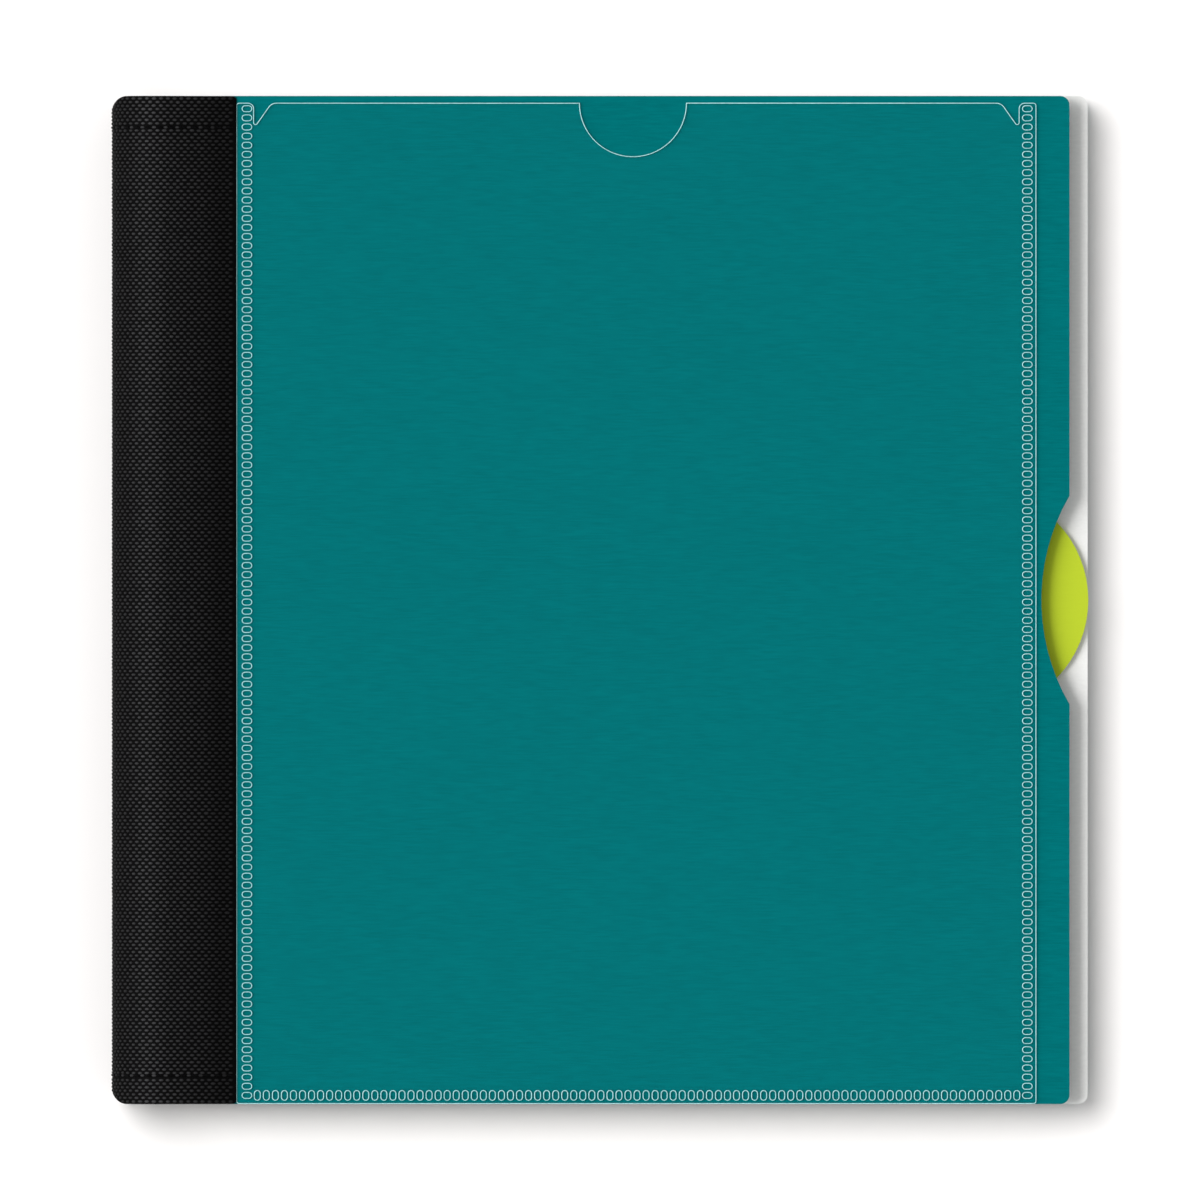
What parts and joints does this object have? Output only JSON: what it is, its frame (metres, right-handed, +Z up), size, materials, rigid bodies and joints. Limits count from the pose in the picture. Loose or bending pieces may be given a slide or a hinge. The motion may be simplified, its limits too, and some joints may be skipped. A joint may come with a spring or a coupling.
{
  "type": "stamp album",
  "caption": "Wire-bound stamp album: poly covers, woven spine sleeve, clear front pocket, tabbed index divider and stock leaves with clear strips.",
  "frame": {"origin": "middle of the closed album's footprint, on the surface that it lies on", "axes": "+X from the spine to the fore-edge, +Y along the spine towards the head, +Z up, out of the front cover"},
  "size_m": [0.283, 0.292, 0.0243],
  "materials": {
    "cover_poly": "finely streaked satin sheet",
    "clear_film": "clear gloss film",
    "divider_poly": "satin sheet",
    "wire": "black nylon-coated steel wire",
    "woven_fabric": "coarse plain weave",
    "leaf_card": "smooth white card",
    "strip_film": "clear gloss film"
  },
  "bodies": {
    "root": {"back_cover": "cover_poly", "binding_wire": "wire", "spine_fabric_back": "woven_fabric", "spine_fabric_wrap": "woven_fabric"},
    "front_cover": {"front_cover": "cover_poly", "front_pocket_film": "clear_film", "spine_fabric_front": "woven_fabric"},
    "index_divider": {"index_divider": "divider_poly"},
    "leaf_01": {"leaf_01_card": "leaf_card", "leaf_01_front_strips": "strip_film", "leaf_01_back_strips": "strip_film"},
    "leaf_02": {"leaf_02_card": "leaf_card", "leaf_02_front_strips": "strip_film", "leaf_02_back_strips": "strip_film"},
    "leaf_03": {"leaf_03_card": "leaf_card", "leaf_03_front_strips": "strip_film", "leaf_03_back_strips": "strip_film"},
    "leaf_04": {"leaf_04_card": "leaf_card", "leaf_04_front_strips": "strip_film", "leaf_04_back_strips": "strip_film"},
    "leaf_05": {"leaf_05_card": "leaf_card", "leaf_05_front_strips": "strip_film", "leaf_05_back_strips": "strip_film"},
    "leaf_06": {"leaf_06_card": "leaf_card", "leaf_06_front_strips": "strip_film", "leaf_06_back_strips": "strip_film"},
    "leaf_07": {"leaf_07_card": "leaf_card", "leaf_07_front_strips": "strip_film", "leaf_07_back_strips": "strip_film"},
    "leaf_08": {"leaf_08_card": "leaf_card", "leaf_08_front_strips": "strip_film", "leaf_08_back_strips": "strip_film"},
    "leaf_09": {"leaf_09_card": "leaf_card", "leaf_09_front_strips": "strip_film", "leaf_09_back_strips": "strip_film"},
    "leaf_10": {"leaf_10_card": "leaf_card", "leaf_10_front_strips": "strip_film", "leaf_10_back_strips": "strip_film"}
  },
  "joints": [
    {"name": "front_cover_hinge", "type": "hinge", "parent": "root", "child": "front_cover", "pos_m": [-0.12934, 0, 0.01216], "axis": [0, -1, 0], "range_deg": [0, 178], "deforming": ["spine_fabric_wrap"]},
    {"name": "index_divider_hinge", "type": "hinge", "parent": "root", "child": "index_divider", "pos_m": [-0.12934, 0, 0.01216], "axis": [0, -1, 0], "range_deg": [0, 178]},
    {"name": "leaf_01_hinge", "type": "hinge", "parent": "root", "child": "leaf_01", "pos_m": [-0.12934, 0, 0.01216], "axis": [0, -1, 0], "range_deg": [0, 178]},
    {"name": "leaf_02_hinge", "type": "hinge", "parent": "root", "child": "leaf_02", "pos_m": [-0.12934, 0, 0.01216], "axis": [0, -1, 0], "range_deg": [0, 178]},
    {"name": "leaf_03_hinge", "type": "hinge", "parent": "root", "child": "leaf_03", "pos_m": [-0.12934, 0, 0.01216], "axis": [0, -1, 0], "range_deg": [0, 178]},
    {"name": "leaf_04_hinge", "type": "hinge", "parent": "root", "child": "leaf_04", "pos_m": [-0.12934, 0, 0.01216], "axis": [0, -1, 0], "range_deg": [0, 178]},
    {"name": "leaf_05_hinge", "type": "hinge", "parent": "root", "child": "leaf_05", "pos_m": [-0.12934, 0, 0.01216], "axis": [0, -1, 0], "range_deg": [0, 178]},
    {"name": "leaf_06_hinge", "type": "hinge", "parent": "root", "child": "leaf_06", "pos_m": [-0.12934, 0, 0.01216], "axis": [0, -1, 0], "range_deg": [0, 178]},
    {"name": "leaf_07_hinge", "type": "hinge", "parent": "root", "child": "leaf_07", "pos_m": [-0.12934, 0, 0.01216], "axis": [0, -1, 0], "range_deg": [0, 178]},
    {"name": "leaf_08_hinge", "type": "hinge", "parent": "root", "child": "leaf_08", "pos_m": [-0.12934, 0, 0.01216], "axis": [0, -1, 0], "range_deg": [0, 178]},
    {"name": "leaf_09_hinge", "type": "hinge", "parent": "root", "child": "leaf_09", "pos_m": [-0.12934, 0, 0.01216], "axis": [0, -1, 0], "range_deg": [0, 178]},
    {"name": "leaf_10_hinge", "type": "hinge", "parent": "root", "child": "leaf_10", "pos_m": [-0.12934, 0, 0.01216], "axis": [0, -1, 0], "range_deg": [0, 178]}
  ],
  "couplings": [
    {"joint": "index_divider_hinge", "follows": "front_cover_hinge", "ratio": 0.983},
    {"joint": "leaf_01_hinge", "follows": "front_cover_hinge", "ratio": 0.933},
    {"joint": "leaf_02_hinge", "follows": "front_cover_hinge", "ratio": 0.8536},
    {"joint": "leaf_03_hinge", "follows": "front_cover_hinge", "ratio": 0.75},
    {"joint": "leaf_04_hinge", "follows": "front_cover_hinge", "ratio": 0.6294},
    {"joint": "leaf_05_hinge", "follows": "front_cover_hinge", "ratio": 0.5},
    {"joint": "leaf_06_hinge", "follows": "front_cover_hinge", "ratio": 0.3706},
    {"joint": "leaf_07_hinge", "follows": "front_cover_hinge", "ratio": 0.25},
    {"joint": "leaf_08_hinge", "follows": "front_cover_hinge", "ratio": 0.1464},
    {"joint": "leaf_09_hinge", "follows": "front_cover_hinge", "ratio": 0.067},
    {"joint": "leaf_10_hinge", "follows": "front_cover_hinge", "ratio": 0.017}
  ]
}
